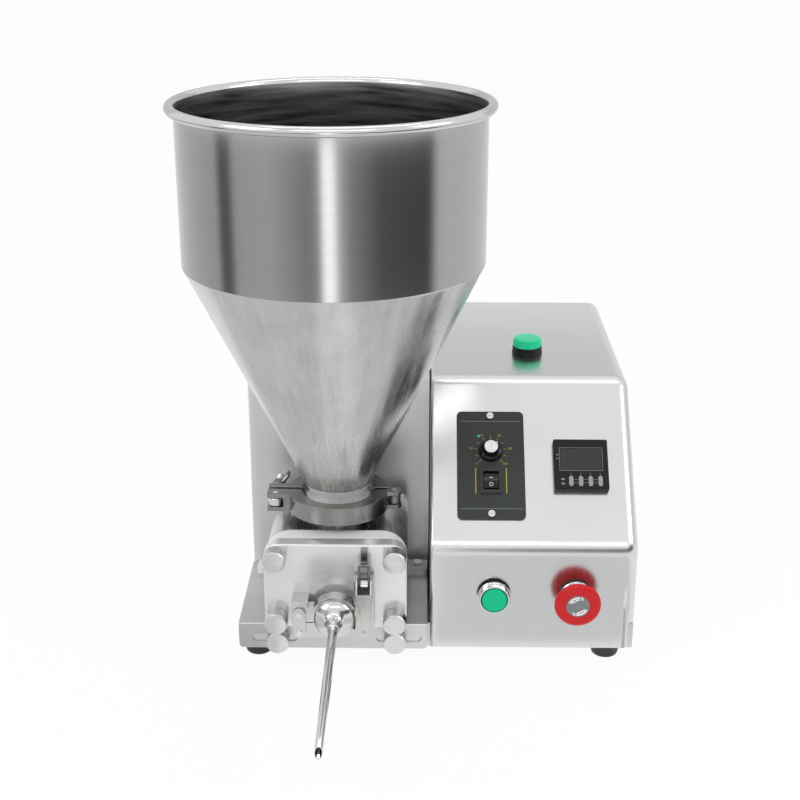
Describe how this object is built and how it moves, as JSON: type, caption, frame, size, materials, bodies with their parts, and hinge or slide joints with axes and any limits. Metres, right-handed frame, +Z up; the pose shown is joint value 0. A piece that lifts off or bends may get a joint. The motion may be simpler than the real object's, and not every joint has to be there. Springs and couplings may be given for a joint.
{
  "type": "donut filler machine",
  "caption": "Countertop depositor with a feed hopper, a gear pump, a long filling nozzle and a control box with speed knob, timer, start button and emergency stop.",
  "frame": {"origin": "centre of the bounding box on the floor", "axes": "+X to the right seen from the front, +Y to the back, +Z up"},
  "size_m": [0.4, 0.5886, 0.4861],
  "materials": {
    "satin_stainless": "satin",
    "polished_stainless": "polished",
    "machined_steel": "machined",
    "plated_steel": "bright plated",
    "hardened_steel": "ground",
    "bush_brass": "turned",
    "seal_rubber": "matte",
    "foot_rubber": "matte",
    "motor_paint": "satin",
    "cast_aluminium": "cast",
    "dark_panel": "satin",
    "black_plastic": "matte",
    "key_plastic": "matte",
    "green_plastic": "gloss",
    "green_lens": "gloss",
    "red_plastic": "gloss"
  },
  "bodies": {
    "machine": {"base_tray": "satin_stainless", "clamp_gaskets": "seal_rubber", "clamp_pins": "plated_steel", "control_housing": "satin_stainless", "drive_housing": "satin_stainless", "estop_collar": "black_plastic", "gear_motor": "motor_paint", "gearbox": "cast_aluminium", "hopper_clamp_front": "polished_stainless", "hopper_clamp_rear": "polished_stainless", "hopper_cone": "satin_stainless", "hopper_drum": "polished_stainless", "latch_hook": "plated_steel", "machine_fasteners": "plated_steel", "motor_bracket": "machined_steel", "nozzle": "polished_stainless", "nozzle_clamp_link": "plated_steel", "nozzle_clamp_lower": "polished_stainless", "nozzle_clamp_upper": "polished_stainless", "pilot_base": "black_plastic", "pilot_lens": "green_lens", "power_inlet": "black_plastic", "pump_body": "machined_steel", "pump_bracket": "machined_steel", "pump_front_cover": "machined_steel", "pump_seals": "seal_rubber", "pump_shelf": "satin_stainless", "pump_studs": "plated_steel", "pump_wear_plate": "machined_steel", "rear_cover": "satin_stainless", "rubber_feet": "foot_rubber", "shaft_bushes": "bush_brass", "speed_controller": "black_plastic", "speed_panel": "dark_panel", "start_bezel": "plated_steel", "switch_blocks": "black_plastic", "timer_case": "black_plastic"},
    "pump_drive": {"drive_shaft": "hardened_steel", "drive_gear": "hardened_steel", "output_hub": "hardened_steel"},
    "pump_idler": {"idler_gear": "hardened_steel"},
    "start_button": {"start_button": "green_plastic"},
    "estop_stem": {"estop_stem": "black_plastic"},
    "estop_head": {"estop_head": "red_plastic"},
    "speed_knob": {"speed_knob": "black_plastic"},
    "rocker_switch": {"rocker_switch": "black_plastic"},
    "latch_lever": {"latch_lever": "plated_steel"},
    "latch_bail": {"latch_bail": "plated_steel"},
    "swing_bolt": {"clamp_swing_bolt": "plated_steel"},
    "wing_nut": {"clamp_wing_nut": "plated_steel"},
    "shelf_knob_left": {"shelf_knob_left": "machined_steel"},
    "shelf_knob_right": {"shelf_knob_right": "machined_steel"},
    "cover_nut_1": {"cover_nut_1": "machined_steel"},
    "timer_key_1": {"timer_key_1": "key_plastic"},
    "cover_nut_2": {"cover_nut_2": "machined_steel"},
    "timer_key_2": {"timer_key_2": "key_plastic"},
    "cover_nut_3": {"cover_nut_3": "machined_steel"},
    "timer_key_3": {"timer_key_3": "key_plastic"},
    "cover_nut_4": {"cover_nut_4": "machined_steel"},
    "timer_key_4": {"timer_key_4": "key_plastic"}
  },
  "joints": [
    {"name": "pump_spin", "type": "hinge", "parent": "machine", "child": "pump_drive", "pos_m": [-0.08665, 0.02275, 0.0774], "axis": [0, 1, 0], "continuous": true},
    {"name": "idler_spin", "type": "hinge", "parent": "machine", "child": "pump_idler", "pos_m": [-0.04465, 0.02275, 0.0774], "axis": [0, 1, 0], "continuous": true},
    {"name": "start_button_press", "type": "slide", "parent": "machine", "child": "start_button", "axis": [0, 1, 0], "range_m": [0, 0.003], "stiffness_N_per_m": 400},
    {"name": "estop_push", "type": "slide", "parent": "machine", "child": "estop_stem", "axis": [0, 1, 0], "range_m": [0, 0.004]},
    {"name": "estop_twist", "type": "hinge", "parent": "estop_stem", "child": "estop_head", "pos_m": [0.14435, -0.06925, 0.0645], "axis": [0, 1, 0], "range_deg": [0, 50], "stiffness_Nm_per_rad": 0.05},
    {"name": "speed_knob_turn", "type": "hinge", "parent": "machine", "child": "speed_knob", "pos_m": [0.07015, 0.00028, 0.17242], "axis": [0, 0.6921, -0.7218], "range_deg": [-185, 85]},
    {"name": "rocker_tilt", "type": "hinge", "parent": "machine", "child": "rocker_switch", "pos_m": [0.07015, -0.01919, 0.15168], "axis": [-1, 0, 0], "range_deg": [0, 16]},
    {"name": "latch_lever_swing", "type": "hinge", "parent": "machine", "child": "latch_lever", "pos_m": [-0.04025, -0.08925, 0.087], "axis": [-1, 0, 0], "range_deg": [0, 100]},
    {"name": "latch_bail_swing", "type": "hinge", "parent": "latch_lever", "child": "latch_bail", "pos_m": [-0.04025, -0.08838, 0.08208], "axis": [-1, 0, 0], "range_deg": [-81, 0]},
    {"name": "clamp_bolt_swing", "type": "hinge", "parent": "machine", "child": "swing_bolt", "pos_m": [-0.12095, -0.02225, 0.1343], "axis": [0, 0, 1], "range_deg": [0, 90]},
    {"name": "wing_nut_turn", "type": "hinge", "parent": "swing_bolt", "child": "wing_nut", "pos_m": [-0.12095, -0.02225, 0.1343], "axis": [0, 1, 0], "continuous": true},
    {"name": "cover_nut_1_turn", "type": "hinge", "parent": "machine", "child": "cover_nut_1", "pos_m": [-0.11715, -0.07725, 0.0474], "axis": [0, -1, 0], "continuous": true},
    {"name": "cover_nut_2_turn", "type": "hinge", "parent": "machine", "child": "cover_nut_2", "pos_m": [-0.11715, -0.07725, 0.1074], "axis": [0, -1, 0], "continuous": true},
    {"name": "cover_nut_3_turn", "type": "hinge", "parent": "machine", "child": "cover_nut_3", "pos_m": [-0.01415, -0.07725, 0.0474], "axis": [0, -1, 0], "continuous": true},
    {"name": "cover_nut_4_turn", "type": "hinge", "parent": "machine", "child": "cover_nut_4", "pos_m": [-0.01415, -0.07725, 0.1074], "axis": [0, -1, 0], "continuous": true},
    {"name": "shelf_knob_left_turn", "type": "hinge", "parent": "machine", "child": "shelf_knob_left", "pos_m": [-0.11725, -0.06925, 0.022], "axis": [0, -1, 0], "continuous": true},
    {"name": "shelf_knob_right_turn", "type": "hinge", "parent": "machine", "child": "shelf_knob_right", "pos_m": [-0.01405, -0.06925, 0.022], "axis": [0, -1, 0], "continuous": true},
    {"name": "timer_key_1_press", "type": "slide", "parent": "machine", "child": "timer_key_1", "axis": [0, 0.6921, -0.7218], "range_m": [0, 0.0008], "stiffness_N_per_m": 300},
    {"name": "timer_key_2_press", "type": "slide", "parent": "machine", "child": "timer_key_2", "axis": [0, 0.6921, -0.7218], "range_m": [0, 0.0008], "stiffness_N_per_m": 300},
    {"name": "timer_key_3_press", "type": "slide", "parent": "machine", "child": "timer_key_3", "axis": [0, 0.6921, -0.7218], "range_m": [0, 0.0008], "stiffness_N_per_m": 300},
    {"name": "timer_key_4_press", "type": "slide", "parent": "machine", "child": "timer_key_4", "axis": [0, 0.6921, -0.7218], "range_m": [0, 0.0008], "stiffness_N_per_m": 300}
  ],
  "couplings": [
    {"joint": "idler_spin", "follows": "pump_spin", "ratio": -1},
    {"joint": "latch_bail_swing", "follows": "latch_lever_swing", "ratio": -0.8}
  ]
}
